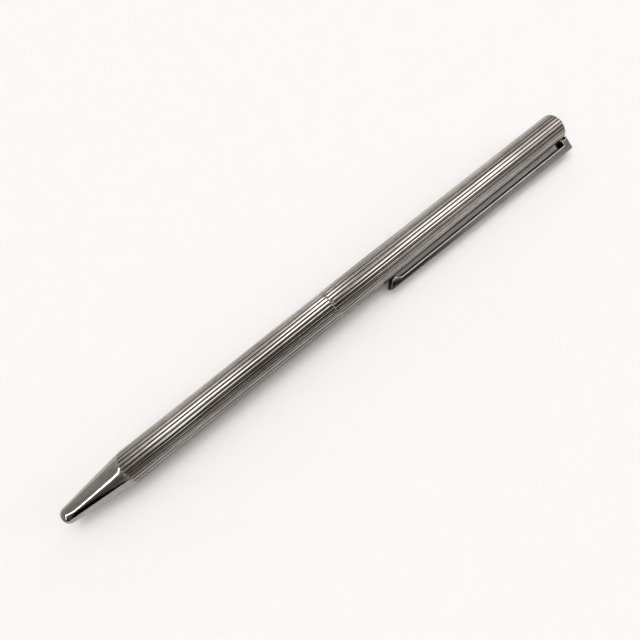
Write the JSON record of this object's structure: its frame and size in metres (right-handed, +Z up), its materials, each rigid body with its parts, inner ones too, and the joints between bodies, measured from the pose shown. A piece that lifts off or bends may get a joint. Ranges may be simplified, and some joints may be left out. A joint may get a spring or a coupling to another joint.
{
  "type": "twist ballpoint pen",
  "caption": "Slim fluted metal ballpoint pen: turning the rear barrel drives the refill out of the plain nose cone; a straight bar clip runs from the flat top end.",
  "frame": {"origin": "middle of the base of the bounding box: the pen lies on z = 0 with its axis level", "axes": "+X along the pen from the writing tip to the top end, +Z up; the clip points towards -Y and 24.5 degrees down"},
  "size_m": [0.133, 0.0096, 0.0073],
  "materials": {
    "polished_metal": "polished",
    "brass": "turned",
    "steel": "ground",
    "nickel_silver": "turned",
    "acetal": "moulded",
    "dark_nylon": "moulded",
    "rubber": "matte",
    "ink": "wet",
    "grease": "wet"
  },
  "bodies": {
    "mechanism": {"guide_tube": "brass", "grip_ring": "rubber", "seam_washer": "dark_nylon", "friction_washer": "acetal", "retaining_ring": "steel"},
    "front": {"front_barrel": "polished_metal", "nose_guide": "brass", "front_liner": "brass"},
    "rear": {"rear_barrel": "polished_metal", "cam_sleeve": "brass", "clip_block": "brass", "end_plug": "polished_metal"},
    "clip_bar": {"clip": "polished_metal"},
    "refill_carrier": {"carrier": "acetal", "follower_pin": "steel"},
    "refill": {"refill_tube": "brass", "refill_tip": "nickel_silver", "ink": "ink", "follower_grease": "grease", "vent_plug": "acetal"},
    "writing_ball": {"refill_ball": "steel"}
  },
  "joints": [
    {"name": "front_barrel_pull", "type": "slide", "parent": "mechanism", "child": "front", "axis": [-1, 0, 0], "range_m": [0, 0.09]},
    {"name": "barrel_twist", "type": "hinge", "parent": "mechanism", "child": "rear", "pos_m": [0.034, 0.00119, 0.00365], "axis": [-1, 0, 0], "range_deg": [0, 180]},
    {"name": "clip_lift", "type": "hinge", "parent": "rear", "child": "clip_bar", "pos_m": [0.06532, -0.00182, 0.00228], "axis": [0, -0.4153, 0.9097], "range_deg": [0, 2], "stiffness_Nm_per_rad": 4.4},
    {"name": "refill_advance", "type": "slide", "parent": "mechanism", "child": "refill_carrier", "axis": [-1, 0, 0], "range_m": [0, 0.005]},
    {"name": "refill_pull", "type": "slide", "parent": "refill_carrier", "child": "refill", "axis": [-1, 0, 0], "range_m": [0, 0.07]},
    {"name": "ball_roll", "type": "hinge", "parent": "refill", "child": "writing_ball", "pos_m": [-0.06565, 0.00119, 0.00365], "axis": [0, 1, 0], "continuous": true}
  ],
  "couplings": [
    {"joint": "refill_advance", "follows": "barrel_twist", "m_per_rad": 0.0015915}
  ]
}
